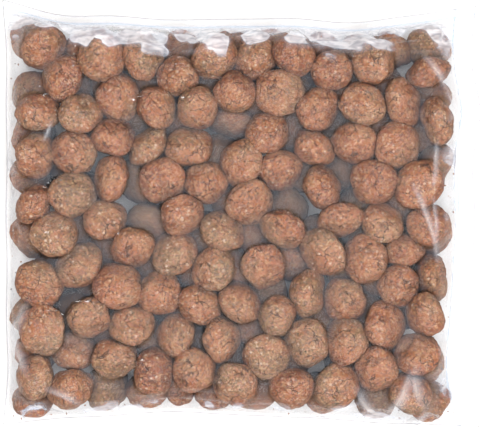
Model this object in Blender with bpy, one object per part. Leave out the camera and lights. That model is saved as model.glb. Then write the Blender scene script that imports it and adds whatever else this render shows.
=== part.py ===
"""Clear sealed bag of small Italian meatballs, lying flat with its contents in two loose layers.

The bag is one solid: the film's outer surface where it drapes over the meatballs, closed
round the edge by the flat sealed rim. X runs across the shown face, Y runs towards the top
seam, Z is up, and the origin is on the surface that the bag lies on, under its middle.
"""

import math

import bmesh
import bpy
import numpy as np
from mathutils import Euler

# Plan of the bag, in metres: its corners, and how far each edge is pulled in at even steps
# between them by the bulk of the filling. A negative pull bulges outwards.
TOP_LEFT = np.array((-0.16695, 0.14945))
TOP_RIGHT = np.array((0.16405, 0.14525))
BOTTOM_LEFT = np.array((-0.16625, -0.14735))
BOTTOM_RIGHT = np.array((0.16625, -0.14945))
TOP_PULL = (0.0098, 0.0103, 0.0124, 0.0109, 0.0107, 0.0124, 0.0066)
BOTTOM_PULL = (0.0040, 0.0068, 0.0092, 0.0068, 0.0059, 0.0030, 0.0014)
LEFT_PULL = (0.0024, 0.0021, 0.0020, 0.0020, 0.0022, 0.0023, 0.0020)
RIGHT_PULL = (0.0085, 0.0065, 0.0034, 0.0018, 0.0022, -0.0023, 0.0027)

# The sealed rim: two films pressed together, standing a little off the surface.
RIM_THICKNESS = 0.0009
RIM_HEIGHT = 0.0180
RIM_RIPPLE = 0.0030
RIM_RIPPLES = 5
RIM_PHASE = 1.3
SEAL = {"left": 0.0025, "right": 0.0135, "bottom": 0.0025, "top": 0.0070}

# The meatballs, which fill the space inside the seals in two staggered layers.
MEATBALL_RADIUS = 0.0147
RADIUS_SPREAD = 0.0005
FLATTEST, ROUNDEST = 0.64, 0.88
LONGEST = 1.10
TILT_SPREAD = 0.65
LOWER_LAYER = {"columns": 9, "rows": 9, "height": 0.0145}
UPPER_LAYER = {"columns": 11, "rows": 9, "height": 0.0350}
FILM_CEILING = 0.0500
SHOULDER = 0.0120
KNOCK = 0.0060
CRUSH = 0.94
SEED = 29

# How the heap settles, and how the film hangs between the meatballs that it touches.
SETTLE_STEPS = 220
SETTLE_DROP = 0.00018
SETTLE_PUSH = 0.4
FILM_CLEARANCE = 0.0010
SLACK_CURVATURE = 130.0
DRAPE_STEPS = 700
COLUMNS, ROWS = 66, 60


def edge_curve(start, end, pulls, inwards, share):
    """Points along one edge of the bag, at each share of its length from 0 to 1."""
    stations = np.linspace(0.0, 1.0, len(pulls) + 2)
    depths = np.array((0.0, *pulls, 0.0))
    slopes = np.gradient(depths, stations)
    index = np.clip(np.searchsorted(stations, share, side="right") - 1, 0, len(pulls))
    step = stations[1]
    t = (share - stations[index]) / step
    depth = (
        depths[index] * (1 + 2 * t) * (1 - t) ** 2
        + depths[index + 1] * t * t * (3 - 2 * t)
        + step * slopes[index] * t * (1 - t) ** 2
        - step * slopes[index + 1] * t * t * (1 - t)
    )
    line = start + (end - start) * share[..., None]
    return line + np.array(inwards) * depth[..., None]


def plan_of(u, v):
    """Where each point of the sheet lies in plan, from its shares across and up the bag."""
    bottom = edge_curve(BOTTOM_LEFT, BOTTOM_RIGHT, BOTTOM_PULL, (0.0, 1.0), u)
    top = edge_curve(TOP_LEFT, TOP_RIGHT, TOP_PULL, (0.0, -1.0), u)
    left = edge_curve(BOTTOM_LEFT, TOP_LEFT, LEFT_PULL, (1.0, 0.0), v)
    right = edge_curve(BOTTOM_RIGHT, TOP_RIGHT, RIGHT_PULL, (-1.0, 0.0), v)
    u, v = u[..., None], v[..., None]
    corners = (1 - v) * ((1 - u) * BOTTOM_LEFT + u * BOTTOM_RIGHT)
    corners = corners + v * ((1 - u) * TOP_LEFT + u * TOP_RIGHT)
    return (1 - v) * bottom + v * top + (1 - u) * left + u * right - corners


def filled_space(places):
    """Lowest and highest x and y inside the seals, level with each place."""
    width, length = TOP_RIGHT[0] - TOP_LEFT[0], TOP_LEFT[1] - BOTTOM_LEFT[1]
    across = np.clip(places[:, 0] / width + 0.5, 0.0, 1.0)
    along = np.clip(places[:, 1] / length + 0.5, 0.0, 1.0)
    left = edge_curve(BOTTOM_LEFT, TOP_LEFT, LEFT_PULL, (1.0, 0.0), along)[:, 0]
    right = edge_curve(BOTTOM_RIGHT, TOP_RIGHT, RIGHT_PULL, (-1.0, 0.0), along)[:, 0]
    bottom = edge_curve(BOTTOM_LEFT, BOTTOM_RIGHT, BOTTOM_PULL, (0.0, 1.0), across)[:, 1]
    top = edge_curve(TOP_LEFT, TOP_RIGHT, TOP_PULL, (0.0, -1.0), across)[:, 1]
    low = np.column_stack((left + SEAL["left"], bottom + SEAL["bottom"]))
    high = np.column_stack((right - SEAL["right"], top - SEAL["top"]))
    return low, high


def layer_of(columns, rows, height, rng):
    """Meatball centres in staggered rows over the filled space, each knocked out of line."""
    row, column = np.divmod(np.arange(columns * rows), columns)
    across = (column + 0.5 * (row % 2)) / (columns - 0.5)
    shares = np.column_stack((across, row / (rows - 1)))
    size = TOP_RIGHT[0] - TOP_LEFT[0], TOP_LEFT[1] - BOTTOM_LEFT[1]
    low, high = filled_space((shares - 0.5) * size)
    places = low + MEATBALL_RADIUS + (high - low - 2 * MEATBALL_RADIUS) * shares
    centres = np.column_stack((places, np.full(len(places), height)))
    return centres + rng.uniform(-KNOCK, KNOCK, centres.shape)


def ball_stretch(radius, rng):
    """The symmetric matrix that turns a unit ball into one uneven, flattened meatball."""
    axes = np.array((rng.uniform(1.0, LONGEST), 1.0, rng.uniform(FLATTEST, ROUNDEST)))
    axes *= radius / np.prod(axes) ** (1 / 3)
    tilt = rng.normal(0.0, TILT_SPREAD, 2)
    turn = np.array(Euler((*tilt, rng.uniform(0.0, math.tau))).to_matrix())
    return turn @ np.diag(axes) @ turn.T


def settled(centres, stretches):
    """The centres once the meatballs have slid down between each other inside the bag."""
    halves = np.linalg.norm(stretches, axis=2)
    for _ in range(SETTLE_STEPS):
        centres[:, 2] -= SETTLE_DROP
        apart = centres[:, None, :] - centres[None, :, :]
        distance = np.linalg.norm(apart, axis=2)
        np.fill_diagonal(distance, np.inf)
        towards = apart / distance[:, :, None]
        half = np.linalg.norm(np.einsum("iab,ijb->ija", stretches, towards), axis=2)
        push = np.clip(CRUSH * (half + half.T) - distance, 0.0, None)
        centres += SETTLE_PUSH * (towards * push[:, :, None]).sum(axis=1)
        lean = SHOULDER * (centres[:, 2:] / FILM_CEILING) ** 2
        low, high = filled_space(centres)
        low, high = low + lean, high - lean
        low = np.column_stack((low, np.zeros(len(low)))) + halves
        high = np.column_stack((high, np.full(len(high), FILM_CEILING))) - halves
        centres = np.clip(centres, low, high)
    return centres


def meatballs():
    """Centres and ellipsoid matrices of all the meatballs in the bag."""
    rng = np.random.default_rng(SEED)
    centres = np.vstack([layer_of(**LOWER_LAYER, rng=rng), layer_of(**UPPER_LAYER, rng=rng)])
    radii = rng.normal(MEATBALL_RADIUS, RADIUS_SPREAD, len(centres))
    stretches = np.array([ball_stretch(radius, rng) for radius in radii])
    inverses = np.linalg.inv(stretches)
    return settled(centres, stretches), inverses @ inverses


def faces_of_balls(plan, centres, shapes):
    """Heights of the heap's upper and lower faces over each point, where it has them."""
    upper = np.zeros(plan.shape[:2])
    lower = np.full(plan.shape[:2], np.inf)
    for centre, shape in zip(centres, shapes):
        x, y = (plan - centre[:2]).transpose(2, 0, 1)
        slope = shape[0, 2] * x + shape[1, 2] * y
        rest = shape[0, 0] * x * x + 2 * shape[0, 1] * x * y + shape[1, 1] * y * y - 1
        root = slope**2 - shape[2, 2] * rest
        inside = root > 0
        reach = np.sqrt(np.where(inside, root, 0.0))
        over = centre[2] + (reach - slope) / shape[2, 2]
        under = centre[2] - (reach + slope) / shape[2, 2]
        upper = np.where(inside, np.maximum(upper, over), upper)
        lower = np.where(inside, np.minimum(lower, under), lower)
    return upper, lower


def rim_height(u, v):
    """Height of the rim's middle, which ripples as the film stands off the surface."""
    across = np.sin(math.tau * RIM_RIPPLES * u + RIM_PHASE)
    along = np.cos(math.tau * (RIM_RIPPLES - 1) * v)
    return RIM_HEIGHT + RIM_RIPPLE * across * along


def relaxed(heights):
    """Each inner point at the mean of its four neighbours, as in a stretched film."""
    mean = heights.copy()
    mean[1:-1, 1:-1] = 0.25 * (
        heights[:-2, 1:-1] + heights[2:, 1:-1] + heights[1:-1, :-2] + heights[1:-1, 2:]
    )
    return mean


def draped_sheets(u, v, plan):
    """Heights of the upper and lower film over the plan, hung over the heap."""
    upper_face, lower_face = faces_of_balls(plan, *meatballs())
    over = np.where(upper_face > 0, upper_face + FILM_CLEARANCE, 0.0)
    under = np.maximum(lower_face - FILM_CLEARANCE, 0.0)
    width = TOP_RIGHT[0] - TOP_LEFT[0]
    length = TOP_LEFT[1] - BOTTOM_LEFT[1]
    sealed = (u * width < SEAL["left"]) | ((1 - u) * width < SEAL["right"])
    sealed |= (v * length < SEAL["bottom"]) | ((1 - v) * length < SEAL["top"])
    half = RIM_THICKNESS / 2
    edge = rim_height(u, v)
    sealed[[0, -1], :] = True
    sealed[:, [0, -1]] = True
    sag = SLACK_CURVATURE * (width / COLUMNS) ** 2 / 4
    upper = np.maximum(over, edge + half)
    lower = np.zeros(u.shape)
    for _ in range(DRAPE_STEPS):
        upper = np.maximum(relaxed(upper) - sag, over)
        lower = np.clip(relaxed(lower) - sag, 0.0, under)
        upper = np.maximum(upper, lower + RIM_THICKNESS)
        upper = np.where(sealed, edge + half, upper)
        lower = np.where(sealed, edge - half, lower)
    return upper, lower


def film_material():
    """Clear film over browned meat, seen as one surface: brown with a soft gloss."""
    material = bpy.data.materials.new("meatballs_in_film")
    material.use_nodes = True
    principled = material.node_tree.nodes["Principled BSDF"]
    principled.inputs["Base Color"].default_value = (0.40, 0.18, 0.10, 1.0)
    principled.inputs["Roughness"].default_value = 0.35
    principled.inputs["Metallic"].default_value = 0.0
    return material


def build_bag():
    """The bag's solid: a grid of film, doubled, closed round the rim and draped."""
    bm = bmesh.new()
    bmesh.ops.create_grid(bm, x_segments=COLUMNS, y_segments=ROWS, size=0.5)
    raised = bmesh.ops.extrude_face_region(bm, geom=bm.faces[:] + bm.edges[:], use_keep_orig=True)
    upper_side = {part for part in raised["geom"] if isinstance(part, bmesh.types.BMVert)}
    v, u = np.mgrid[0 : ROWS + 1, 0 : COLUMNS + 1].astype(float)
    u, v = u / COLUMNS, v / ROWS
    plan = plan_of(u, v)
    upper, lower = draped_sheets(u, v, plan)
    for vertex in bm.verts:
        column = round((vertex.co.x + 0.5) * COLUMNS)
        row = round((vertex.co.y + 0.5) * ROWS)
        heights = upper if vertex in upper_side else lower
        vertex.co = (*plan[row, column], heights[row, column])
    bmesh.ops.recalc_face_normals(bm, faces=bm.faces)
    mesh = bpy.data.meshes.new("sealed_bag")
    bm.to_mesh(mesh)
    bm.free()
    mesh.shade_smooth()
    mesh.materials.append(film_material())
    bag = bpy.data.objects.new("sealed_bag", mesh)
    bpy.context.scene.collection.objects.link(bag)
    return bag


def main():
    for old in list(bpy.data.objects):
        bpy.data.objects.remove(old)
    build_bag()


main()
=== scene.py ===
import math

import bmesh
import bpy
import numpy as np
from mathutils import Euler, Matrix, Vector, noise


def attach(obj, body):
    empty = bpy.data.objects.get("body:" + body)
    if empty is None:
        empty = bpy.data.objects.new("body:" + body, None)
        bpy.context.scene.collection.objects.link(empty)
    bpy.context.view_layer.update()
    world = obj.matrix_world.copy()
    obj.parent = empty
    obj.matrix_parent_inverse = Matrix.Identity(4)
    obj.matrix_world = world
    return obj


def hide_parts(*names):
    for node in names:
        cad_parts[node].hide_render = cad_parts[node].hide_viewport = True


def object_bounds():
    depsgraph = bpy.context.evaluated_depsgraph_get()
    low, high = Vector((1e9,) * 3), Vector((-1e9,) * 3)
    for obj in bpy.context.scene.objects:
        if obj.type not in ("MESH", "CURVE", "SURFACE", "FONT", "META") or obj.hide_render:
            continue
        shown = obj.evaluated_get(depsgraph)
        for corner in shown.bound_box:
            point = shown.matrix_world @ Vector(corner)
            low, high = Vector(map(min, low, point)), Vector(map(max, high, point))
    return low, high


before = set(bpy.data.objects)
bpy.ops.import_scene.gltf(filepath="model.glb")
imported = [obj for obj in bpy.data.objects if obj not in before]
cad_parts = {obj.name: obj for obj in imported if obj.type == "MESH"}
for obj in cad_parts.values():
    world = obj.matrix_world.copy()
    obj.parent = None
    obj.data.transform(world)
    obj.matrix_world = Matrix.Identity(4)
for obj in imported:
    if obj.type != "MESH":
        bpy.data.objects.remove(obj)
cadLow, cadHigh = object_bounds()
print("frame loaded:", sorted(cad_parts))


# The bag's plan, in metres, as in its solid: the corners, and how far each edge is
# pulled in at even steps between them by the filling.
bagPlan = {
    "topLeft": (-0.16695, 0.14945),
    "topRight": (0.16405, 0.14525),
    "bottomLeft": (-0.16625, -0.14735),
    "bottomRight": (0.16625, -0.14945),
    "topPull": (0.0098, 0.0103, 0.0124, 0.0109, 0.0107, 0.0124, 0.0066),
    "bottomPull": (0.0040, 0.0068, 0.0092, 0.0068, 0.0059, 0.0030, 0.0014),
    "leftPull": (0.0024, 0.0021, 0.0020, 0.0020, 0.0022, 0.0023, 0.0020),
    "rightPull": (0.0085, 0.0065, 0.0034, 0.0018, 0.0022, -0.0023, 0.0027),
    "sealLeft": 0.0025,
    "sealRight": 0.0135,
    "sealBottom": 0.0025,
    "sealTop": 0.0070,
    "rimHeight": 0.0180,
    "rimRipple": 0.0030,
    "rimRipples": 5,
    "rimPhase": 1.3,
}
corner = {name: np.array(bagPlan[name]) for name in ("topLeft", "topRight", "bottomLeft", "bottomRight")}
bagWidth = corner["topRight"][0] - corner["topLeft"][0]
bagLength = corner["topLeft"][1] - corner["bottomLeft"][1]


bagEdges = {    # the corners that an edge runs between, and which way it is pulled
    "bottom": ("bottomLeft", "bottomRight", (0.0, 1.0)),
    "top": ("topLeft", "topRight", (0.0, -1.0)),
    "left": ("bottomLeft", "topLeft", (1.0, 0.0)),
    "right": ("bottomRight", "topRight", (-1.0, 0.0)),
}


def edgeCurve(side, share):
    # Points along one edge of the bag, at each share of its length from 0 to 1.
    start, end, inwards = bagEdges[side]
    start, end, pulls = corner[start], corner[end], bagPlan[side + "Pull"]
    stations = np.linspace(0.0, 1.0, len(pulls) + 2)
    depths = np.array((0.0, *pulls, 0.0))
    slopes = np.gradient(depths, stations)
    index = np.clip(np.searchsorted(stations, share, side="right") - 1, 0, len(pulls))
    step = stations[1]
    t = (share - stations[index]) / step
    depth = (
        depths[index] * (1 + 2 * t) * (1 - t) ** 2
        + depths[index + 1] * t * t * (3 - 2 * t)
        + step * slopes[index] * t * (1 - t) ** 2
        - step * slopes[index + 1] * t * t * (1 - t)
    )
    line = start + (end - start) * share[..., None]
    return line + np.array(inwards) * depth[..., None]


def planOf(u, v):
    # Where a point of the film lies in plan, from its shares across and up the bag.
    bottom, top = edgeCurve("bottom", u), edgeCurve("top", u)
    left, right = edgeCurve("left", v), edgeCurve("right", v)
    u, v = u[..., None], v[..., None]
    corners = (1 - v) * ((1 - u) * corner["bottomLeft"] + u * corner["bottomRight"])
    corners = corners + v * ((1 - u) * corner["topLeft"] + u * corner["topRight"])
    return (1 - v) * bottom + v * top + (1 - u) * left + u * right - corners


def filledSpace(places):
    # Lowest and highest x and y inside the seals, level with each place.
    across = np.clip(places[:, 0] / bagWidth + 0.5, 0.0, 1.0)
    along = np.clip(places[:, 1] / bagLength + 0.5, 0.0, 1.0)
    left = edgeCurve("left", along)[:, 0] + bagPlan["sealLeft"]
    right = edgeCurve("right", along)[:, 0] - bagPlan["sealRight"]
    bottom = edgeCurve("bottom", across)[:, 1] + bagPlan["sealBottom"]
    top = edgeCurve("top", across)[:, 1] - bagPlan["sealTop"]
    return np.column_stack((left, bottom)), np.column_stack((right, top))


# The heap of meatballs: two staggered layers, knocked out of line and settled into each
# other, with the same draw of random numbers as in the bag's solid.
heapPlan = {
    "radius": 0.0147,
    "radiusSpread": 0.0005,
    "flattest": 0.64,
    "roundest": 0.88,
    "longest": 1.10,
    "tiltSpread": 0.65,
    "layers": ((9, 9, 0.0145), (11, 9, 0.0350)),    # columns, rows, height
    "filmCeiling": 0.0500,
    "shoulder": 0.0120,
    "knock": 0.0060,
    "crush": 0.94,
    "settleSteps": 220,
    "settleDrop": 0.00018,
    "settlePush": 0.4,
    "seed": 29,
}


def layerOf(columns, rows, height, rng):
    row, column = np.divmod(np.arange(columns * rows), columns)
    across = (column + 0.5 * (row % 2)) / (columns - 0.5)
    shares = np.column_stack((across, row / (rows - 1)))
    low, high = filledSpace((shares - 0.5) * (bagWidth, bagLength))
    places = low + heapPlan["radius"] + (high - low - 2 * heapPlan["radius"]) * shares
    centres = np.column_stack((places, np.full(len(places), height)))
    return centres + rng.uniform(-heapPlan["knock"], heapPlan["knock"], centres.shape)


def ballStretch(radius, rng):
    # The symmetric matrix that turns a unit ball into one uneven, flattened meatball.
    axes = np.array((
        rng.uniform(1.0, heapPlan["longest"]),
        1.0,
        rng.uniform(heapPlan["flattest"], heapPlan["roundest"]),
    ))
    axes *= radius / np.prod(axes) ** (1 / 3)
    tilt = rng.normal(0.0, heapPlan["tiltSpread"], 2)
    turn = np.array(Euler((*tilt, rng.uniform(0.0, math.tau))).to_matrix())
    return turn @ np.diag(axes) @ turn.T


def settledHeap(centres, stretches):
    halves = np.linalg.norm(stretches, axis=2)
    ceiling = heapPlan["filmCeiling"]
    for _ in range(heapPlan["settleSteps"]):
        centres[:, 2] -= heapPlan["settleDrop"]
        apart = centres[:, None, :] - centres[None, :, :]
        distance = np.linalg.norm(apart, axis=2)
        np.fill_diagonal(distance, np.inf)
        towards = apart / distance[:, :, None]
        half = np.linalg.norm(np.einsum("iab,ijb->ija", stretches, towards), axis=2)
        push = np.clip(heapPlan["crush"] * (half + half.T) - distance, 0.0, None)
        centres += heapPlan["settlePush"] * (towards * push[:, :, None]).sum(axis=1)
        lean = heapPlan["shoulder"] * (centres[:, 2:] / ceiling) ** 2
        low, high = filledSpace(centres)
        low, high = low + lean, high - lean
        low = np.column_stack((low, np.zeros(len(low)))) + halves
        high = np.column_stack((high, np.full(len(high), ceiling))) - halves
        centres = np.clip(centres, low, high)
    return centres


def makeHeap():
    rng = np.random.default_rng(heapPlan["seed"])
    centres = np.vstack([layerOf(*layer, rng=rng) for layer in heapPlan["layers"]])
    radii = rng.normal(heapPlan["radius"], heapPlan["radiusSpread"], len(centres))
    stretches = np.array([ballStretch(radius, rng) for radius in radii])
    return settledHeap(centres, stretches), stretches


# One meatball's surface: broad lumps, smaller knobs, grains, and the creases between them.
# The finer crumb and the hairline cracks are in the material.
meatPlan = {
    "cooks": ("pale", "golden", "russet", "paintedShade", "herbed"),    # one piece for each
    "subdivisions": 5,
    "lumps": (0.0120, 0.0023, 0.0),    # size, height, and shift of the noise that makes them
    "knobs": (0.0052, 0.0005, 9.0),
    "grains": (0.0022, 0.0005, -6.0),
    "creased": (0.0120, 1.6, -21.0),    # size, contrast and shift of the creased parts
    "creaseCell": 0.0105,
    "creaseShift": 4.0,
    "creaseWidth": 0.11,
    "creaseDepth": 0.0011,
    "creaseWander": 0.45,
    "creaseBends": 1.7,    # how many times it turns aside in the length of a cell
    "paleTopsPaintedLight": 0.8,    # how often a meatball is paler on its shown side: painted light on its top, besides uneven toasting
    "paleSide": (0.1, 0.5),    # how much paler one side of it is
    "toastSpread": 0.18,
    "underside": 0.0003,    # no meatball reaches lower than this, where it lies on the film
    "pressedFrom": 0.0492,  # and above this the film presses its lumps flatter
    "pressed": 0.35,
    "seed": 7,
}


def noiseAt(points, size, shift):
    return np.array([noise.noise(place) for place in (points / size + shift).tolist()])


def creaseAt(points, size, shift):
    # 1 on the winding borders of uneven cells, falling to 0 away from them.
    wander, bends = meatPlan["creaseWander"], meatPlan["creaseBends"]
    places = [Vector(place) for place in (points / size + shift).tolist()]
    moved = [place + wander * noise.noise_vector(place * bends) for place in places]
    nearest = np.array([noise.voronoi(place)[0][:2] for place in moved])
    return np.clip(1.0 - (nearest[:, 1] - nearest[:, 0]) / meatPlan["creaseWidth"], 0.0, 1.0)


def ballSurface(directions, stretch, rng):
    # Points of one meatball round its centre, and how deep in a crease each one is.
    shift = rng.uniform(-50.0, 50.0, 3)
    points = directions @ stretch
    ground = directions * heapPlan["radius"]
    height = np.zeros(len(ground))
    for kind in ("lumps", "knobs", "grains"):
        size, rise, away = meatPlan[kind]
        height += rise * noiseAt(ground, size, shift + away)
    size, contrast, away = meatPlan["creased"]
    creased = np.clip(0.5 + contrast * noiseAt(ground, size, shift + away), 0.0, 1.0)
    crease = creaseAt(ground, meatPlan["creaseCell"], shift + meatPlan["creaseShift"]) * creased
    height -= meatPlan["creaseDepth"] * crease * crease * (3 - 2 * crease)
    return points + directions * height[:, None], crease


def unitBall():
    bm = bmesh.new()
    bmesh.ops.create_icosphere(bm, subdivisions=meatPlan["subdivisions"], radius=1.0)
    directions = np.array([vert.co for vert in bm.verts])
    bm.free()
    return directions


def pointAttribute(mesh, name, values):
    attribute = mesh.attributes.new(name, "FLOAT", "POINT")
    attribute.data.foreach_set("value", np.asarray(values, np.float32).ravel())


def meshPoints(mesh):
    points = np.empty(len(mesh.vertices) * 3, np.float32)
    mesh.vertices.foreach_get("co", points)
    return points.reshape(-1, 3).astype(float)


def addObject(name, mesh):
    piece = bpy.data.objects.new(name, mesh)
    bpy.context.scene.collection.objects.link(piece)
    return piece


def makeMeatballs():
    noise.seed_set(meatPlan["seed"])    # or else the creases wander another way in each run
    rng = np.random.default_rng(meatPlan["seed"])
    directions = unitBall()
    cookOf = rng.permutation(np.arange(len(heapCentres)) % len(meatPlan["cooks"]))
    pieces = {}
    for cook, name in enumerate(meatPlan["cooks"]):
        members = np.flatnonzero(cookOf == cook)
        bm = bmesh.new()
        for _ in members:
            bmesh.ops.create_icosphere(bm, subdivisions=meatPlan["subdivisions"], radius=1.0)
        mesh = bpy.data.meshes.new("meatballs_" + name)
        bm.to_mesh(mesh)
        bm.free()
        points, creases, toastsWithLitTops = [], [], []
        for member in members:
            surface, crease = ballSurface(directions, heapStretches[member], rng)
            # The paler side leans to the top: uneven toasting, and painted light falling on the tops.
            pale = rng.normal(size=3) + (0.0, 0.0, meatPlan["paleTopsPaintedLight"])
            side = directions @ (pale / np.linalg.norm(pale))
            points.append(surface + heapCentres[member])
            creases.append(crease)
            toast = rng.normal(0.0, meatPlan["toastSpread"])
            toastsWithLitTops.append(toast - side * rng.uniform(*meatPlan["paleSide"]))
        points = np.vstack(points)
        proud = np.maximum(points[:, 2] - meatPlan["pressedFrom"], 0.0)
        points[:, 2] -= proud * (1 - meatPlan["pressed"])
        points[:, 2] = np.maximum(points[:, 2], meatPlan["underside"])
        mesh.vertices.foreach_set("co", points.astype(np.float32).ravel())
        pointAttribute(mesh, "crease", np.concatenate(creases))
        pointAttribute(mesh, "toast", np.concatenate(toastsWithLitTops))
        mesh.shade_smooth()
        mesh.update()
        pieces[name] = addObject("meatballs_" + name, mesh)
    return pieces


heapCentres, heapStretches = makeHeap()
meatballs = makeMeatballs()
meatPoints = np.vstack([meshPoints(piece.data) for piece in meatballs.values()])
meatTop = round(meatPoints[:, 2].max(), 4)
print("meatballs:", len(heapCentres), "in", len(meatballs), "pieces, top at", meatTop)


# The film: two webs, sealed together round the rim, that hang over and under the heap.
filmPlan = {
    "columns": 288,
    "rows": 256,
    "crowding": 1.6,    # how much closer the grid is drawn at the rim
    "crowdedShare": 0.035,
    "crowdingSamples": 4001,
    "fieldCell": 0.0010,    # size of the squares in which the heap's heights are kept
    "fieldMargin": 0.01,
    "clearance": 0.00025,    # between the film and the meat
    "webGap": 0.00008,    # between the two webs in a seal
    "sag": 16.0,    # how tightly the film bends down between the meatballs
    "drapeSteps": 700,
    "slack": 0.007,    # spare length of film, as a share
    "edgeSlack": 0.015,    # and more of it towards the rim
    "edgeReach": 0.030,
    "topSlack": 0.024,    # and most under the top seam, where the film is crumpled
    "topReach": 0.026,
    "levels": ((4, 160, 0.06), (2, 120, 0.05), (1, 60, 0.05)),    # grid step, rounds, stiffness
    "pullStrength": 0.9,
    "startRipple": 0.0012,
    "seed": 11,
    "foldLee": 0.40,    # the steep side's share of a fold's half width
    "foldTips": (0.04, 0.96),    # shares of a fold's length beyond which it fades no further
    "fullAir": 0.0140,    # from this gap on, the film is as hazy as it gets
    "seamReach": 0.0170,    # of the cloudy strip under the top seam
    "seamOverlap": 0.001,    # how far it runs on over the seal
    "lesserReach": 0.0120,   # and of the fainter ones along the other two seals
    "lesserSeam": 0.38,
    "wallShare": 0.30,    # how much of that cloudiness the upright sides keep
    "wallLevel": 0.15,    # a web is upright where it is no more level than this
    "wallSpan": 0.45,    # and flat where it is this much more level
    "wallSmoothing": 6,
    "sealLine": 0.0007,    # half width of a seal's pressed line
    "topLine": 0.0015,    # how far above the top seam's edge its line is
    "cutFade": 0.6,    # how much of the cut edge's look the next row has
}

# Folds pinched in the upper web: start, end, sideways bow, half width and height. Each
# falls off gently to its left, seen from its start, and steeply to its right.
filmFolds = (
    ((0.1258, 0.1067), (0.1405, 0.0864), 0.0006, 0.0030, 0.0018),
    ((0.1419, 0.0843), (0.1447, 0.0724), 0.0010, 0.0020, 0.0014),
    ((0.1335, 0.0479), (0.1307, 0.0199), 0.0008, 0.0022, 0.0012),
    ((0.1174, 0.0178), (0.1349, -0.0326), 0.0022, 0.0026, 0.0016),
    ((0.1314, 0.0094), (0.1335, -0.0186), 0.0006, 0.0016, 0.0008),
    ((0.1538, 0.0794), (0.1531, 0.0584), 0.0004, 0.0010, 0.0),
    ((0.1520, 0.0444), (0.1534, -0.0116), -0.0012, 0.0010, 0.0),
    ((0.1157, -0.1087), (0.0990, -0.1400), 0.0016, 0.0046, 0.0020),
    ((0.1180, -0.1100), (0.1225, -0.1300), -0.0012, 0.0048, 0.0014),
    ((0.0800, -0.1226), (0.0985, -0.1412), -0.0040, 0.0034, 0.0016),
    ((0.0621, -0.1348), (0.0810, -0.1310), -0.0010, 0.0014, 0.0010),
    ((-0.1325, -0.1215), (-0.1129, -0.1306), 0.0010, 0.0026, 0.0014),
    ((-0.1505, -0.0640), (-0.1600, -0.0840), 0.0008, 0.0040, 0.0012),
    ((-0.1600, -0.0900), (-0.1490, -0.1090), 0.0010, 0.0036, 0.0012),
    ((-0.1563, 0.0906), (-0.1647, 0.0520), 0.0004, 0.0012, 0.0010),
    ((-0.1311, 0.0619), (-0.1353, 0.0507), 0.0004, 0.0014, 0.0008),
    ((0.0341, 0.1242), (0.0565, 0.1158), 0.0010, 0.0018, 0.0010),
)


def crowdedShares(count):
    # Steps from 0 to 1, closer together towards both ends, where the film climbs.
    t = np.linspace(0.0, 1.0, filmPlan["crowdingSamples"])
    near = np.exp(-t / filmPlan["crowdedShare"]) + np.exp(-(1 - t) / filmPlan["crowdedShare"])
    grown = np.cumsum(1 + filmPlan["crowding"] * near)
    grown -= grown[0]
    return np.interp(np.linspace(0.0, grown[-1], count + 1), grown, t)


def spread3x3(field, pick):
    grown = field.copy()
    for along in (-1, 0, 1):
        for across in (-1, 0, 1):
            grown = pick(grown, np.roll(field, (along, across), (0, 1)))
    return grown


def heapFields():
    # The heap's highest and lowest points over each small square of the plan.
    size, margin = filmPlan["fieldCell"], filmPlan["fieldMargin"]
    low = np.array((cadLow.x, cadLow.y)) - margin
    count = np.ceil((np.array((cadHigh.x, cadHigh.y)) + margin - low) / size).astype(int)
    cell = np.floor((meatPoints[:, :2] - low) / size).astype(int)
    above = np.zeros((count[1], count[0]))
    below = np.ones((count[1], count[0]))
    np.maximum.at(above, (cell[:, 1], cell[:, 0]), meatPoints[:, 2])
    np.minimum.at(below, (cell[:, 1], cell[:, 0]), meatPoints[:, 2])
    return low, spread3x3(above, np.maximum), spread3x3(below, np.minimum)


def between(grid, y, x):
    # A grid's values at places between its rows and columns.
    row = np.minimum(y.astype(int), grid.shape[0] - 2)
    column = np.minimum(x.astype(int), grid.shape[1] - 2)
    fy, fx = y - row, x - column
    if grid.ndim == 3:
        fy, fx = fy[..., None], fx[..., None]
    near = grid[row, column] * (1 - fx) + grid[row, column + 1] * fx
    far = grid[row + 1, column] * (1 - fx) + grid[row + 1, column + 1] * fx
    return near * (1 - fy) + far * fy


def sampled(field, x, y):
    # A field's value at each place, smoothed between the middles of its squares.
    px = np.clip((x - fieldLow[0]) / filmPlan["fieldCell"] - 0.5, 0, field.shape[1] - 1.001)
    py = np.clip((y - fieldLow[1]) / filmPlan["fieldCell"] - 0.5, 0, field.shape[0] - 1.001)
    return between(field, py, px)


def meanOfFour(grid):
    mean = grid.copy()
    mean[1:-1, 1:-1] = 0.25 * (grid[:-2, 1:-1] + grid[2:, 1:-1] + grid[1:-1, :-2] + grid[1:-1, 2:])
    return mean


def foldAt(places):
    # How far the folds raise the web at each place, and how near it is to one's ridge.
    height, nearness = np.zeros(places.shape[:-1]), np.zeros(places.shape[:-1])
    for start, end, bow, width, rise in filmFolds:
        start, end = np.array(start), np.array(end)
        length = np.linalg.norm(end - start)
        along = (end - start) / length
        share = np.clip((places - start) @ along / length, 0.0, 1.0)
        across = np.array((-along[1], along[0]))
        ridge = start + (end - start) * share[..., None] + across * (4 * bow * share * (1 - share))[..., None]
        offset = places - ridge
        reach = width * np.where(offset @ across > 0, 1.0, filmPlan["foldLee"])
        near = np.exp(-((np.linalg.norm(offset, axis=-1) / reach) ** 2))
        near *= np.sin(math.pi * np.clip(share, *filmPlan["foldTips"])) ** 0.5
        height += rise * near
        nearness = np.maximum(nearness, near)
    return height, nearness


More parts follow.
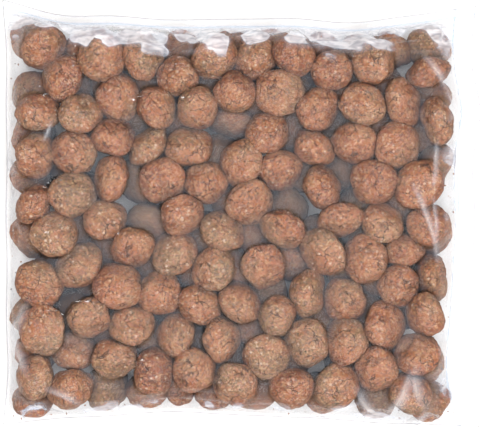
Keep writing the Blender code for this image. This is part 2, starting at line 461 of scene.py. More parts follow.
def draped(plan, rimHeights, sealed):
    # Heights of both webs, hung over and under the heap from the rim.
    over = sampled(aboveField, plan[..., 0], plan[..., 1])
    under = sampled(belowField, plan[..., 0], plan[..., 1])
    over = np.where(over > 0, over + filmPlan["clearance"], 0.0)
    spacing = bagWidth / filmPlan["columns"]
    sag = filmPlan["sag"] * spacing**2 / 4
    upper = np.maximum(over, rimHeights)
    lower = np.zeros(over.shape)
    for _ in range(filmPlan["drapeSteps"]):
        upper = np.maximum(meanOfFour(upper) - sag, over)
        lower = np.minimum(np.maximum(meanOfFour(lower) - sag, 0.0), under)
        upper = np.where(sealed, rimHeights, np.maximum(upper, lower + filmPlan["webGap"]))
        lower = np.where(sealed, rimHeights - filmPlan["webGap"], lower)
    return upper, lower


def pull(points, first, second, rest, strength):
    # Moves each pair of points towards its rest distance.
    apart = points[second] - points[first]
    length = np.linalg.norm(apart, axis=-1, keepdims=True)
    move = 0.5 * strength * apart * (1 - rest[..., None] / np.maximum(length, 1e-9))
    points[first] += move
    points[second] -= move


def pairings(rows, columns):
    # The grid's neighbours as pairs of slices in which no point comes twice.
    every, found = slice(None), []
    for odd in (0, 1):
        a, b = slice(odd, columns - 1, 2), slice(odd + 1, columns, 2)
        found.append(((every, a), (every, b)))
        a, b = slice(odd, rows - 1, 2), slice(odd + 1, rows, 2)
        found.append(((a, every), (b, every)))
        for down in (False, True):
            first = slice(odd, rows - 1, 2), slice(1, columns) if down else slice(0, columns - 1)
            second = slice(odd + 1, rows, 2), slice(0, columns - 1) if down else slice(1, columns)
            found.append((first, second))
    return found


def crumple(points, slack, held, rounds, stiffness):
    # Gives the web its spare length, so that it buckles into folds over the heap.
    rest = []
    pairs = pairings(*points.shape[:2])
    for first, second in pairs:
        spare = 1 + 0.5 * (slack[first] + slack[second])
        rest.append(np.linalg.norm(points[second] - points[first], axis=-1) * spare)
    anchor = points.copy()
    for _ in range(rounds):
        for (first, second), length in zip(pairs, rest):
            pull(points, first, second, length, filmPlan["pullStrength"])
        for axis in range(3):
            smooth = meanOfFour(points[..., axis])
            points[..., axis] += stiffness * (smooth - points[..., axis])
        points[held] = anchor[held]
        under = sampled(aboveField, points[..., 0], points[..., 1])
        floor = np.where(under > 0, under + filmPlan["clearance"], 0.0)
        points[..., 2] = np.maximum(points[..., 2], floor)
    return points


def refined(coarse, before, after):
    # Carries the coarse web's shift from where it was hung over to the finer grid.
    rows, columns = after.shape[:2]
    y = np.linspace(0, coarse.shape[0] - 1, rows)[:, None]
    x = np.linspace(0, coarse.shape[1] - 1, columns)[None, :]
    return after + between(coarse - before, y, x)


def sealedAt(plan):
    # Where the two webs are pressed together round the rim.
    flat = plan.reshape(-1, 2)
    low, high = filledSpace(flat)
    outside = (flat < low).any(axis=1) | (flat > high).any(axis=1)
    return outside.reshape(plan.shape[:2])


def makeFilm():
    rows, columns = filmPlan["rows"], filmPlan["columns"]
    v, u = np.meshgrid(crowdedShares(rows), crowdedShares(columns), indexing="ij")
    plan = planOf(u, v)
    ripples = bagPlan["rimRipples"]
    rimHeights = bagPlan["rimHeight"] + bagPlan["rimRipple"] * np.sin(
        math.tau * ripples * u + bagPlan["rimPhase"]
    ) * np.cos(math.tau * (ripples - 1) * v)
    sealed = sealedAt(plan)
    sealed[[0, -1], :] = True
    sealed[:, [0, -1]] = True
    upper, lower = draped(plan, rimHeights, sealed)
    hung = np.dstack((plan, upper))
    edge = np.minimum(np.minimum(u, 1 - u) * bagWidth, np.minimum(v, 1 - v) * bagLength)
    slack = filmPlan["slack"] + filmPlan["edgeSlack"] * np.exp(-((edge / filmPlan["edgeReach"]) ** 2))
    slack += filmPlan["topSlack"] * np.exp(-(((1 - v) * bagLength / filmPlan["topReach"]) ** 2))
    rng = np.random.default_rng(filmPlan["seed"])
    web, before = None, None
    for step, rounds, stiffness in filmPlan["levels"]:
        level = hung[::step, ::step]
        if web is None:
            web = level.copy()
            web[..., 2] += rng.uniform(0.0, filmPlan["startRipple"], web.shape[:2])
        else:
            web = refined(web, before, level)
        held = sealed[::step, ::step]
        web[held] = level[held]
        web = crumple(web, slack[::step, ::step], held, rounds, stiffness)
        before = level
    web[..., 2] += foldAt(web[..., :2])[0] * ~sealed
    return plan, web, lower


def filmMarks(plan, web, lower):
    # For each point of the upper and of the lower web: how much air is behind it, how near
    # it is to the crumpled top seam, and whether it is on a seal line or the cut edge.
    x, y = web[..., 0], web[..., 1]
    behind = np.maximum(sampled(aboveField, x, y), lower)
    airOver = np.clip((web[..., 2] - behind) / filmPlan["fullAir"], 0.0, 1.0)
    before = np.minimum(sampled(belowField, plan[..., 0], plan[..., 1]), web[..., 2])
    airUnder = np.clip((before - lower) / filmPlan["fullAir"], 0.0, 1.0)
    flat = plan.reshape(-1, 2)
    low, high = filledSpace(flat)
    toRight, toTop = (high - flat).T.reshape(2, *x.shape)
    toBottom = (flat - low)[:, 1].reshape(x.shape)
    facing = np.cross(np.gradient(web, axis=1), np.gradient(web, axis=0))
    level = np.abs(facing[..., 2]) / np.maximum(np.linalg.norm(facing, axis=-1), 1e-12)
    for _ in range(filmPlan["wallSmoothing"]):
        level = meanOfFour(level)
    level = np.clip((level - filmPlan["wallLevel"]) / filmPlan["wallSpan"], 0.0, 1.0)
    level = filmPlan["wallShare"] + (1 - filmPlan["wallShare"]) * level
    seam = np.exp(-((np.clip(toTop, 0.0, None) / filmPlan["seamReach"]) ** 2))
    seam *= toTop > -filmPlan["seamOverlap"]
    for away in (toBottom, toRight):
        lesser = np.exp(-((np.clip(away, 0.0, None) / filmPlan["lesserReach"]) ** 2))
        seam = np.maximum(seam, filmPlan["lesserSeam"] * lesser * (away > 0))
    seam *= level
    line = np.exp(-((toRight / filmPlan["sealLine"]) ** 2))
    line += np.exp(-(((toTop + filmPlan["topLine"]) / filmPlan["sealLine"]) ** 2))
    fold = foldAt(web[..., :2])[1]
    edge = np.zeros(x.shape)
    for inset, share in ((1, filmPlan["cutFade"]), (0, 1.0)):
        edge[[inset, -1 - inset], :] = share
        edge[:, [inset, -1 - inset]] = share
    unmarked = np.zeros(x.shape)
    return {
        "air": (airOver, airUnder),
        "seam": (seam, unmarked),
        "sealLine": (np.clip(line + fold * (toRight < 0), 0.0, 1.0), unmarked),
        "edge": (edge, edge),
        "fold": (fold * (toRight > 0), unmarked),
    }


def buildFilm(web, lower, plan):
    # A flat double grid, the lower side twice as coarse, is moved onto the two webs.
    rows, columns = filmPlan["rows"], filmPlan["columns"]
    bm = bmesh.new()
    bmesh.ops.create_grid(bm, x_segments=columns, y_segments=rows, size=0.5)
    spare = []
    for edge in bm.edges:
        middle = (edge.verts[0].co + edge.verts[1].co) / 2
        column, row = (middle.x + 0.5) * columns, (middle.y + 0.5) * rows
        if round(column * 2) % 4 == 2 or round(row * 2) % 4 == 2:    # on an odd row or column
            spare.append(edge)
    raised = bmesh.ops.extrude_face_region(bm, geom=bm.faces[:] + bm.edges[:], use_keep_orig=True)
    upperSide = [part for part in raised["geom"] if isinstance(part, bmesh.types.BMVert)]
    bmesh.ops.translate(bm, vec=(0.0, 0.0, 1.0), verts=upperSide)
    bmesh.ops.dissolve_edges(bm, edges=spare, use_verts=True)
    marks = filmMarks(plan, web, lower)
    layers = {name: bm.verts.layers.float.new(name) for name in marks}
    for vert in bm.verts:
        column, row = round((vert.co.x + 0.5) * columns), round((vert.co.y + 0.5) * rows)
        side = 0 if vert.co.z > 0.5 else 1
        for name, layer in layers.items():
            vert[layer] = marks[name][side][row, column]
        vert.co = (*plan[row, column], lower[row, column]) if side else web[row, column]
    bmesh.ops.recalc_face_normals(bm, faces=bm.faces)
    mesh = bpy.data.meshes.new("film")
    bm.to_mesh(mesh)
    bm.free()
    mesh.shade_smooth()
    return addObject("film", mesh)


fieldLow, aboveField, belowField = heapFields()
filmPlaces, filmWeb, filmLower = makeFilm()
film = buildFilm(filmWeb, filmLower, filmPlaces)
print("film:", len(film.data.polygons), "faces, top at", round(filmWeb[..., 2].max(), 4))


# The deeper meat lies under the film, the more of its colour is taken by haze and by painted shade.
depthPlan = {
    "full": 0.0400,    # all but lost
    "turn": 1.6,    # how soon a face that turns away counts as under the other web
    "lowerTop": 0.02,    # the lower web is never taken to be higher than this
    "aside": 1.4,    # how much more the distance from the side counts
}


def webHeights():
    # Both webs' heights over each small square of the plan.
    size = filmPlan["fieldCell"]
    high, low = np.zeros(aboveField.shape), np.full(aboveField.shape, 1.0)
    lowerWeb = np.dstack((filmPlaces, filmLower))
    for points, field, pick in ((filmWeb, high, np.maximum), (lowerWeb, low, np.minimum)):
        flat = points.reshape(-1, 3)
        cell = np.floor((flat[:, :2] - fieldLow) / size).astype(int)
        pick.at(field, (cell[:, 1], cell[:, 0]), flat[:, 2])
    return spread3x3(high, np.maximum), spread3x3(low, np.minimum)


def markDepths():
    # Upward faces lie under the upper web and downward ones over the lower web, and the
    # outermost meat is near the film whichever way it faces.
    high, low = webHeights()
    for piece in meatballs.values():
        points = meshPoints(piece.data)
        facing = np.empty(len(points) * 3, np.float32)
        piece.data.vertices.foreach_get("normal", facing)
        upward = np.clip(0.5 + depthPlan["turn"] * facing.reshape(-1, 3)[:, 2], 0.0, 1.0)
        lowest = np.minimum(sampled(low, points[:, 0], points[:, 1]), depthPlan["lowerTop"])
        under = sampled(high, points[:, 0], points[:, 1]) - points[:, 2]
        over = points[:, 2] - lowest
        first, last = filledSpace(points)
        aside = np.minimum(points[:, :2] - first, last - points[:, :2]).min(axis=1)
        aside = np.maximum(aside, 0.0) * depthPlan["aside"]
        behind = np.minimum(upward * under + (1 - upward) * over, aside)
        pointAttribute(piece.data, "depth", np.clip(behind / depthPlan["full"], 0.0, 1.0))


markDepths()
print("depths marked")


# Loose crumbs of meat that have fallen to the edges of the bag.
crumbPlan = {
    "count": 36,
    "size": (0.0003, 0.0008),
    "stretch": (0.6, 1.3),
    "lumpHeight": 0.35,    # as a share of its size
    "lumpWaves": 1.3,    # in the length of its size
    "lumpShift": 0.37,    # so that no two crumbs are alike
    "lift": 1.2,
    "room": 0.003,    # there is one only where the webs are this far apart
    "toast": 0.1,
    "seed": 5,
}


def makeCrumbs():
    rng = np.random.default_rng(crumbPlan["seed"])
    room = filmWeb[..., 2] - filmLower
    bare = sampled(aboveField, filmPlaces[..., 0], filmPlaces[..., 1]) == 0
    rows, columns = np.nonzero(bare & (room > crumbPlan["room"]))
    chosen = rng.choice(len(rows), crumbPlan["count"], replace=False)
    bm = bmesh.new()
    for row, column in zip(rows[chosen], columns[chosen]):
        size = rng.uniform(*crumbPlan["size"])
        crumb = bmesh.ops.create_icosphere(bm, subdivisions=2, radius=size)["verts"]
        bmesh.ops.scale(bm, vec=rng.uniform(*crumbPlan["stretch"], 3), verts=crumb)
        bmesh.ops.rotate(bm, matrix=Euler(rng.uniform(0, math.tau, 3)).to_matrix(), verts=crumb)
        shift = Vector((row, column, 0)) * crumbPlan["lumpShift"]
        for vert in crumb:
            lump = noise.noise(vert.co / size * crumbPlan["lumpWaves"] + shift)
            vert.co *= 1 + crumbPlan["lumpHeight"] * lump
        place = (*filmPlaces[row, column], filmLower[row, column] + crumbPlan["lift"] * size)
        bmesh.ops.translate(bm, vec=place, verts=crumb)
    mesh = bpy.data.meshes.new("crumbs")
    bm.to_mesh(mesh)
    bm.free()
    mesh.shade_smooth()
    for name, value in (("crease", 0.0), ("toast", crumbPlan["toast"]), ("depth", 0.0)):
        pointAttribute(mesh, name, np.full(len(mesh.vertices), value))
    return addObject("crumbs", mesh)


crumbs = makeCrumbs()
print("crumbs done")


# Small helpers for node trees.
def addNode(tree, kind, settings=None, **inputs):
    node = tree.nodes.new(kind)
    for name, value in (settings or {}).items():
        setattr(node, name, value)
    for name, value in inputs.items():
        key = int(name[1:]) if name[1:].isdigit() else name.replace("_", " ")
        socket = node.inputs[key]
        if isinstance(value, bpy.types.NodeSocket):
            tree.links.new(value, socket)
        else:
            socket.default_value = value
    return node


def maths(tree, operation, *values, clamp=False):
    inputs = {f"i{place}": value for place, value in enumerate(values)}
    return addNode(tree, "ShaderNodeMath", {"operation": operation, "use_clamp": clamp}, **inputs).outputs[0]


def ranged(tree, value, low, high, toLow=0.0, toHigh=1.0):
    node = addNode(
        tree, "ShaderNodeMapRange", {"interpolation_type": "SMOOTHSTEP"},
        i0=value, i1=low, i2=high, i3=toLow, i4=toHigh,
    )
    return node.outputs[0]


def mixed(tree, factor, first, second, blend="MIX"):
    settings = {"data_type": "RGBA", "blend_type": blend}
    return addNode(tree, "ShaderNodeMix", settings, i0=factor, i6=first, i7=second).outputs[2]


def noiseMap(tree, where, size, detail=2.0, roughness=0.5, distortion=0.0):
    node = addNode(
        tree, "ShaderNodeTexNoise", None,
        Vector=where, Scale=1.0 / size, Detail=detail, Roughness=roughness, Distortion=distortion,
    )
    return node.outputs["Fac"]


def readAttribute(tree, name):
    return addNode(tree, "ShaderNodeAttribute", {"attribute_name": name}).outputs["Fac"]


# Browned minced meat: patches of tan, orange-brown and olive, broken into small grains of uneven colour
# with painted shade in the clefts between them, herb flecks, pale fat, and winding cracks with painted shade
# in them.
crust = {
    "olive": (0.252, 0.144, 0.078, 1.0),    # the least toasted patches, and so on to russet
    "tan": (0.334, 0.160, 0.084, 1.0),
    "orange": (0.332, 0.122, 0.055, 1.0),
    "russet": (0.230, 0.080, 0.042, 1.0),
    "tanAt": 0.26,
    "orangeAt": 0.58,
    "patchSize": 0.0085,
    "patchContrast": 1.6,
    "grains": (    # colour, which chance picks it, from and to what, and how much it covers
        ((0.590, 0.400, 0.238, 1.0), 0, 0.62, 0.86, 0.40),
        ((0.110, 0.104, 0.108, 1.0), 0, 0.34, 0.14, 0.44),
        ((0.430, 0.180, 0.130, 1.0), 2, 0.62, 0.80, 0.42),
    ),
    "granuleSize": 0.0012,
    "granuleShades": (0.92, 1.08),
    "granuleWander": 0.0004,
    "granuleBends": 0.0020,
    "crumbSize": 0.0012,
    "crumbShades": (0.90, 1.10),
    "crack": (0.050, 0.028, 0.022, 1.0),    # painted shade in the cracks, and also in the clefts, wrinkles and creases
    "crackSize": 0.0100,
    "crackWander": 0.0060,
    "crackBends": 0.0060,
    "crackLines": (0.0110, 0.50, 0.58, 0.010, 0.042),    # size and threshold of parts, and width
    "crackShadeCover": 0.80,
    "creaseShadeCover": 0.6,
    "cleftLines": (0.0042, 0.38, 0.58, 0.02, 0.15),
    "cleftShadeCover": 0.20,
    "wrinkleSize": 0.0040,
    "wrinkleLines": (0.0060, 0.40, 0.54, 0.004, 0.030),
    "wrinkleShadeCover": 0.14,
    "fat": (0.620, 0.480, 0.370, 1.0),
    "fatSpecks": (0.0036, 0.10, 0.40, 0.62, 0.66),    # cell, where a speck ends in it, chance
    "herb": (0.035, 0.045, 0.035, 1.0),
    "herbSpecks": (0.0020, 0.14, 0.32, 0.50, 0.54),
    "crispness": (0.12, 0.60, 1.0, 0.62),   # from depth, to depth, and what is left of the grain
    "deepShade": (0.400, 0.335, 0.250, 1.0),    # painted shade: the share of its colour that deep meat keeps
    "shadeDeepening": (1.9, -0.09),
    "lostInShade": (0.135, 0.077, 0.040, 1.0),    # painted shade: the dark colour that its own fades to
    "lostInShadeCover": 0.4,
    "gapShade": (0.040, 0.046, 0.058, 1.0),    # painted shade, bluish: what the gaps between the lowest ones fade to
    "gapShadeDepth": (0.58, 0.95, 0.0, 0.85),
    "granuleRim": (0.0, 0.30),  # a granule is round up to here from its edge
    "granuleHeight": 0.50,    # shares of the bump's height, as the next four
    "crumbHeight": 0.50,
    "fatHeight": 0.10,
    "wrinkleHeight": 0.12,
    "crackHeight": 0.6,
    "bumpHeight": 0.0010,
    "bumpStrength": 0.24,
    "roughest": 0.80,
    "smoother": 0.25,    # how much less rough the crumb's tops are
    "specular": 0.18,
}


def cellsMap(tree, where, size, feature="F1"):
    settings = {"feature": feature}
    return addNode(tree, "ShaderNodeTexVoronoi", settings, Vector=where, Scale=1.0 / size).outputs


def wandering(tree, where, size, reach, detail=2.0):
    # The same places pushed about by a noise, so that a pattern read there wanders.
    push = addNode(tree, "ShaderNodeTexNoise", None, Vector=where, Scale=1.0 / size, Detail=detail)
    push = push.outputs["Color"]
    settings = {"operation": "MULTIPLY_ADD"}
    return addNode(tree, "ShaderNodeVectorMath", settings, i0=push, i1=(reach,) * 3, i2=where).outputs[0]


def product(tree, first, *others):
    for other in others:
        first = maths(tree, "MULTIPLY", first, other)
    return first


def chances(tree, cells):
    # Three random numbers for each cell.
    return addNode(tree, "ShaderNodeSeparateColor", None, i0=cells["Color"]).outputs


def linesOf(tree, where, kind, distance):
    # 1 along the middle of this kind's lines, in the parts of the crust that have them.
    size, low, high, thin, thick = crust[kind + "Lines"]
    inParts = ranged(tree, noiseMap(tree, where, size, 1.0), low, high)
    return product(tree, ranged(tree, distance, thin, thick, 1.0, 0.0), inParts)


def specks(tree, where, kind, pick):
    # Round specks of fat or herb in some of the cells.
    size, inner, outer, low, high = crust[kind + "Specks"]
    cells = cellsMap(tree, where, size)
    inside = ranged(tree, cells["Distance"], inner, outer, 1.0, 0.0)
    return product(tree, inside, ranged(tree, chances(tree, cells)[pick], low, high))


def toastedPatches(tree, where, toast):
    contrast = crust["patchContrast"]
    patches = noiseMap(tree, where, crust["patchSize"], 3.0, 0.55, 0.4)
    patches = maths(tree, "MULTIPLY_ADD", patches, contrast, -contrast / 2)
    cook = maths(tree, "ADD", toast, patches)
    ramp = addNode(tree, "ShaderNodeValToRGB", None, Fac=maths(tree, "ADD", cook, 0.5, clamp=True))
    stops = ramp.color_ramp.elements
    stops[0].position, stops[0].color = 0.0, crust["olive"]
    stops[1].position, stops[1].color = 1.0, crust["russet"]
    stops.new(crust["tanAt"]).color = crust["tan"]
    stops.new(crust["orangeAt"]).color = crust["orange"]
    return ramp.outputs["Color"]


def grained(tree, color, granules, crumb, crisp):
    # Some grains of other colours, and every grain a little lighter or darker.
    chance = chances(tree, granules)
    for tone, pick, low, high, cover in crust["grains"]:
        cover = product(tree, ranged(tree, chance[pick], low, high), crisp, cover)
        color = mixed(tree, cover, color, tone)
    granuleShade = ranged(tree, chance[1], 0.0, 1.0, *crust["granuleShades"])
    crumbShade = ranged(tree, crumb, 0.30, 0.70, *crust["crumbShades"])
    uneven = maths(tree, "SUBTRACT", product(tree, granuleShade, crumbShade), 1.0)
    shade = maths(tree, "MULTIPLY_ADD", uneven, crisp, 1.0)
    grey = addNode(tree, "ShaderNodeCombineColor", None, i0=shade, i1=shade, i2=shade).outputs[0]
    return mixed(tree, 1.0, color, grey, "MULTIPLY")


def paintedDepthShade(tree, color, depth):
    # Painted shade: deep in the bag the meat's colour is darkened first, then faded to a dark colour, and in
    # the gaps between the lowest ones to a bluish dark.
    shadeShare = maths(tree, "MULTIPLY_ADD", depth, *crust["shadeDeepening"], clamp=True)
    color = mixed(tree, shadeShare, color, crust["deepShade"], "MULTIPLY")
    color = mixed(tree, product(tree, shadeShare, crust["lostInShadeCover"]), color, crust["lostInShade"])
    return mixed(tree, ranged(tree, depth, *crust["gapShadeDepth"]), color, crust["gapShade"])


def makeCrustGroup():
    tree = bpy.data.node_groups.new("brownedCrust", "ShaderNodeTree")
    sockets = (("Toast", 0.0), ("Crease", 0.0), ("Depth", 0.0), ("Herbs", 0.5), ("Fat", 0.5))
    for name, value in sockets:
        socket = tree.interface.new_socket(name, in_out="INPUT", socket_type="NodeSocketFloat")
        socket.default_value = value
    for name, kind in (("Color", "Color"), ("Roughness", "Float"), ("Height", "Float")):
        tree.interface.new_socket(name, in_out="OUTPUT", socket_type="NodeSocket" + kind)
    given = tree.nodes.new("NodeGroupInput").outputs
    where = addNode(tree, "ShaderNodeTexCoord").outputs["Object"]
    crisp = ranged(tree, given["Depth"], *crust["crispness"])
    crumbled = wandering(tree, where, crust["granuleBends"], crust["granuleWander"])
    granules = cellsMap(tree, crumbled, crust["granuleSize"])
    toEdge = cellsMap(tree, crumbled, crust["granuleSize"], "DISTANCE_TO_EDGE")["Distance"]
    crumb = noiseMap(tree, where, crust["crumbSize"], 2.0, 0.60)
    color = toastedPatches(tree, where, given["Toast"])
    color = grained(tree, color, granules, crumb, crisp)

    cleft = product(tree, linesOf(tree, where, "cleft", toEdge), crisp)
    folds = noiseMap(tree, where, crust["wrinkleSize"], 2.0, 0.55, 0.6)
    folds = maths(tree, "ABSOLUTE", maths(tree, "SUBTRACT", folds, 0.5))
    wrinkle = product(tree, linesOf(tree, where, "wrinkle", folds), crisp)
    # painted shade in the clefts between the grains and along the wrinkles
    paintedShade = maths(
        tree, "MAXIMUM",
        product(tree, cleft, crust["cleftShadeCover"]), product(tree, wrinkle, crust["wrinkleShadeCover"]),
    )
    color = mixed(tree, paintedShade, color, crust["crack"])

    fat = product(tree, specks(tree, where, "fat", 0), given["Fat"], crisp)
    color = mixed(tree, fat, color, crust["fat"])
    herb = product(tree, specks(tree, where, "herb", 1), given["Herbs"], crisp)
    color = mixed(tree, herb, color, crust["herb"])

    winding = wandering(tree, where, crust["crackBends"], crust["crackWander"], 3.0)
    cracks = cellsMap(tree, winding, crust["crackSize"], "DISTANCE_TO_EDGE")["Distance"]
    crack = linesOf(tree, where, "crack", cracks)
    # painted shade along the cracks and in the creases carved in the mesh
    paintedShade = maths(tree, "MAXIMUM", crack, product(tree, given["Crease"], crust["creaseShadeCover"]))
    color = mixed(tree, product(tree, paintedShade, crisp, crust["crackShadeCover"]), color, crust["crack"])
    color = paintedDepthShade(tree, color, given["Depth"])

    height = product(tree, fat, crust["fatHeight"])
    rounded = ranged(tree, toEdge, *crust["granuleRim"])
    height = maths(tree, "MULTIPLY_ADD", rounded, crust["granuleHeight"], height)
    height = maths(tree, "MULTIPLY_ADD", crumb, crust["crumbHeight"], height)
    height = maths(tree, "SUBTRACT", height, product(tree, wrinkle, crust["wrinkleHeight"]))
    height = maths(tree, "MULTIPLY_ADD", crack, -crust["crackHeight"], height)
    rough = maths(tree, "MULTIPLY_ADD", crumb, -crust["smoother"], crust["roughest"])
    out = tree.nodes.new("NodeGroupOutput").inputs
    tree.links.new(color, out["Color"])
    tree.links.new(rough, out["Roughness"])
    tree.links.new(product(tree, height, crisp), out["Height"])
    return tree


crustGroup = makeCrustGroup()

cookPlan = {    # each cook's toast, and its share of herbs and of fat
    "pale": (-0.12, 0.85, 0.70),
    "golden": (0.00, 0.75, 0.50),
    "russet": (0.10, 0.65, 0.35),
    "paintedShade": (0.20, 0.75, 0.25),
    "herbed": (-0.04, 1.00, 0.45),
}


def makeMeatMaterial(name, toast, herbs, fat):
    material = bpy.data.materials.new(name)
    material.use_nodes = True
    tree = material.node_tree
    shader = tree.nodes["Principled BSDF"]
    browned = addNode(
        tree, "ShaderNodeGroup", {"node_tree": crustGroup}, Herbs=herbs, Fat=fat,
        Toast=maths(tree, "ADD", readAttribute(tree, "toast"), toast),
        Crease=readAttribute(tree, "crease"), Depth=readAttribute(tree, "depth"),
    )
    bump = addNode(
        tree, "ShaderNodeBump", None, Height=browned.outputs["Height"],
        Strength=crust["bumpStrength"], Distance=crust["bumpHeight"],
    )
    tree.links.new(browned.outputs["Color"], shader.inputs["Base Color"])
    tree.links.new(browned.outputs["Roughness"], shader.inputs["Roughness"])
    tree.links.new(bump.outputs["Normal"], shader.inputs["Normal"])
    shader.inputs["Specular IOR Level"].default_value = crust["specular"]
    return material


for name, piece in meatballs.items():
    piece.data.materials.append(makeMeatMaterial("crust_" + name, *cookPlan[name]))
crumbs.data.materials.append(makeMeatMaterial("crumb", *cookPlan["russet"]))


# Clear film: all but unseen where it lies on the meat, milky where air is under it, whiter edge on, with a
# soft gloss.
# Where it is crumpled or folded it is whiter, partly its own haze and partly painted reflection of the light.
filmFinish = {
    "milk": (0.68, 0.78, 0.96, 1.0),
    "cloudAndSheen": (0.90, 0.85, 0.84, 1.0),    # crumpled or folded film: its own whiteness, and painted reflection of the light
    "pressedLine": (0.36, 0.46, 0.58, 1.0),
    "cut": (0.30, 0.27, 0.25, 1.0),
    "clearest": 0.004,
    "haziest": 0.048,
    "hazyAir": (0.20, 1.0),    # share of full air at which it starts and ends to grow hazier
    "seamHazeAndSheen": 0.84,    # more in the crumpled strip under the top seam: haze, and painted reflection of the light off the crumples
    "foldHazeAndSheen": 0.30,
    "lineHaze": 0.60,
    "cutHaze": 0.58,
    "patchSize": 0.0200,    # of the strip's clear and cloudy patches
    "patchFlattening": (1.7, 0.6),    # some lie along the seam, and some hang from it
    "patchSpread": 0.26,    # how far a patch reaches beyond the strip or falls short of it
    "sheetEdge": (0.50, 0.58),    # a patch comes in within this, and softly within the next
    "sheetFade": (0.30, 0.80),
    "sheetCore": 0.55,    # share of the sharp one
    "brimFade": (0.78, 0.56),
    "brimHazeAndSheen": 0.22,    # how much whiter a patch is near its edge, partly haze and partly painted reflection
    "streakSize": 0.0110,   # of the thinner places in the cloudy patches
    "streakFlattening": 2.6,
    "streakRange": (0.32, 0.68, 0.40, 0.84),
    "seamFade": (0.12, 0.42),
    "restingShare": (0.0, 0.12, 0.50, 1.0),    # fainter where the film lies on the meat
    "edgeOn": 0.15,    # how much hazier the film is edge on
    "edgeOnCurve": 2.0,
    "milkRoughness": 0.5,
    "gloss": 0.11,
    "refraction": 1.25,
    "brightest": 0.16,    # share of light that the film mirrors at most, edge on
}


def flattened(tree, where, rate):
    # Places in which a pattern is this many times shorter up the bag than across it.
    return addNode(tree, "ShaderNodeMapping", None, Vector=where, Scale=(1.0, rate, 1.0)).outputs[0]


def cloudyStrip(tree, air):
    # How cloudy the crumpled film under the top seam is, in patches with thinner streaks. The cloudiness is
    # partly the film's haze and partly painted reflection of the light.
    where = addNode(tree, "ShaderNodeTexCoord").outputs["Object"]
    seam = readAttribute(tree, "seam")
    reach = filmFinish["patchSpread"]
    patches = []
    for rate in filmFinish["patchFlattening"]:
        patch = noiseMap(tree, flattened(tree, where, rate), filmFinish["patchSize"], 0.0, 0.4, 0.3)
        patches.append(ranged(tree, patch, 0.30, 0.70, -reach, reach))
    spread = maths(tree, "ADD", seam, maths(tree, "ADD", *patches))
    core = filmFinish["sheetCore"]
    sheet = product(tree, ranged(tree, spread, *filmFinish["sheetFade"]), 1 - core)
    sheet = maths(tree, "MULTIPLY_ADD", ranged(tree, spread, *filmFinish["sheetEdge"]), core, sheet)
    brimHazeAndSheen = product(tree, sheet, ranged(tree, spread, *filmFinish["brimFade"]), filmFinish["brimHazeAndSheen"])
    streaky = flattened(tree, where, filmFinish["streakFlattening"])
    streaks = noiseMap(tree, streaky, filmFinish["streakSize"], 2.0, 0.5, 0.6)
    thin = ranged(tree, streaks, *filmFinish["streakRange"])
    cloudy = maths(tree, "MULTIPLY_ADD", sheet, thin, brimHazeAndSheen)
    nearSeam = ranged(tree, seam, *filmFinish["seamFade"])
    return product(tree, cloudy, nearSeam, ranged(tree, air, *filmFinish["restingShare"]))


def makeFilmMaterial():
    material = bpy.data.materials.new("clearFilm")
    material.use_nodes = True
    tree = material.node_tree
    tree.nodes.remove(tree.nodes["Principled BSDF"])
    air = readAttribute(tree, "air")
    haze = ranged(tree, air, *filmFinish["hazyAir"], filmFinish["clearest"], filmFinish["haziest"])
    cloudy = cloudyStrip(tree, air)
    haze = maths(tree, "MULTIPLY_ADD", cloudy, filmFinish["seamHazeAndSheen"], haze)
    # folds are whiter partly by their own haze and partly as painted reflection of the light
    fold = readAttribute(tree, "fold")
    haze = maths(tree, "MULTIPLY_ADD", fold, filmFinish["foldHazeAndSheen"], haze)
    line = readAttribute(tree, "sealLine")
    haze = maths(tree, "MULTIPLY_ADD", line, filmFinish["lineHaze"], haze)
    facing = addNode(tree, "ShaderNodeLayerWeight", None, Blend=0.5).outputs["Facing"]
    facing = maths(tree, "POWER", facing, filmFinish["edgeOnCurve"])
    thicker = maths(tree, "MULTIPLY_ADD", facing, filmFinish["edgeOn"], 1.0)
    haze = maths(tree, "MULTIPLY", haze, thicker)
    edge = readAttribute(tree, "edge")
    haze = maths(tree, "MULTIPLY_ADD", edge, filmFinish["cutHaze"], haze, clamp=True)
    whiter = maths(tree, "MAXIMUM", cloudy, fold)
    tint = mixed(tree, whiter, filmFinish["milk"], filmFinish["cloudAndSheen"])
    tint = mixed(tree, line, tint, filmFinish["pressedLine"])
    tint = mixed(tree, edge, tint, filmFinish["cut"])
    rough = filmFinish["milkRoughness"]
    milk = addNode(tree, "ShaderNodeBsdfPrincipled", None, Base_Color=tint, Roughness=rough)
    clear = addNode(tree, "ShaderNodeBsdfTransparent")
    body = addNode(tree, "ShaderNodeMixShader", None, i0=haze, i1=clear.outputs[0], i2=milk.outputs[0])
    shine = addNode(tree, "ShaderNodeBsdfGlossy", None, Roughness=filmFinish["gloss"])
    fresnel = addNode(tree, "ShaderNodeFresnel", None, IOR=filmFinish["refraction"]).outputs[0]
    fresnel = maths(tree, "MINIMUM", fresnel, filmFinish["brightest"])
    whole = addNode(tree, "ShaderNodeMixShader", None, i0=fresnel, i1=body.outputs[0], i2=shine.outputs[0])
    shadow = addNode(tree, "ShaderNodeLightPath").outputs["Is Shadow Ray"]
    whole = addNode(tree, "ShaderNodeMixShader", None, i0=shadow, i1=whole.outputs[0], i2=clear.outputs[0])
    tree.links.new(whole.outputs[0], tree.nodes["Material Output"].inputs["Surface"])
    return material


film.data.materials.append(makeFilmMaterial())

for piece in (*meatballs.values(), crumbs):
    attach(piece, "root")
    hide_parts("sealed_bag")
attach(film, "root")
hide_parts("sealed_bag")
print("materials done")


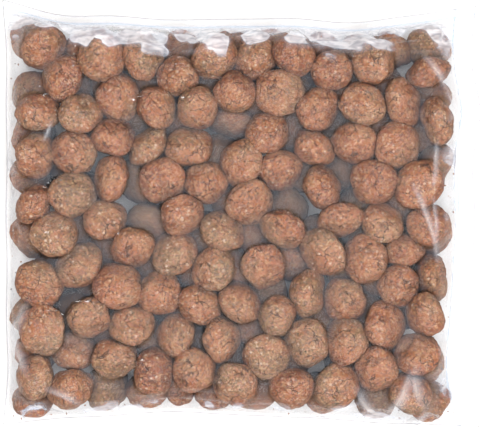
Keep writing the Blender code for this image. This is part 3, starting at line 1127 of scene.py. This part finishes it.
# A plain white table, soft light from all round and a broad key from the lower right.
stagePlan = {
    "tableSize": 6.0,
    "tableSquares": 8,
    "tableHeight": -0.0002,    # just under the bag
    "white": (0.90, 0.90, 0.90, 1.0),
    "roughness": 0.9,
    "sky": 0.55,
    "key": ((0.35, -0.45, 1.90), 3.0, 64.0),    # place, size and power
    "spark": ((-0.45, 0.55, 1.00), 0.07, 1.8),
    "cameraHeight": 1.40,    # over the rim, straight down
    "sensorWidth": 36.0,
    "framedWidth": 0.336,
    "framedMiddle": (-0.0009, -0.0004),
}


def makeStage():
    bm = bmesh.new()
    squares = stagePlan["tableSquares"]
    bmesh.ops.create_grid(bm, x_segments=squares, y_segments=squares, size=stagePlan["tableSize"] / 2)
    mesh = bpy.data.meshes.new("table")
    bm.to_mesh(mesh)
    bm.free()
    table = addObject("table", mesh)
    table.location.z = stagePlan["tableHeight"]
    material = bpy.data.materials.new("whiteTable")
    material.use_nodes = True
    shader = material.node_tree.nodes["Principled BSDF"]
    shader.inputs["Base Color"].default_value = stagePlan["white"]
    shader.inputs["Roughness"].default_value = stagePlan["roughness"]
    mesh.materials.append(material)
    world = bpy.data.worlds.new("softSky")
    world.use_nodes = True
    background = world.node_tree.nodes["Background"]
    background.inputs["Color"].default_value = (1.0, 1.0, 1.0, 1.0)
    background.inputs["Strength"].default_value = stagePlan["sky"]
    bpy.context.scene.world = world


def addAreaLight(name, place, size, power):
    data = bpy.data.lights.new(name, "AREA")
    data.shape = "DISK"
    data.size = size
    data.energy = power
    light = bpy.data.objects.new(name, data)
    light.location = place
    light.rotation_euler = (-Vector(place)).to_track_quat("-Z", "Y").to_euler()
    bpy.context.scene.collection.objects.link(light)


def makeCamera():
    data = bpy.data.cameras.new("camera")
    data.sensor_width = stagePlan["sensorWidth"]
    data.lens = data.sensor_width * stagePlan["cameraHeight"] / stagePlan["framedWidth"]
    camera = bpy.data.objects.new("camera", data)
    camera.location = (*stagePlan["framedMiddle"], bagPlan["rimHeight"] + stagePlan["cameraHeight"])
    bpy.context.scene.collection.objects.link(camera)
    bpy.context.scene.camera = camera


makeStage()
for name in ("key", "spark"):
    addAreaLight(name, *stagePlan[name])
makeCamera()
bpy.context.scene.view_settings.view_transform = "Standard"
print("stage, lights and camera done")
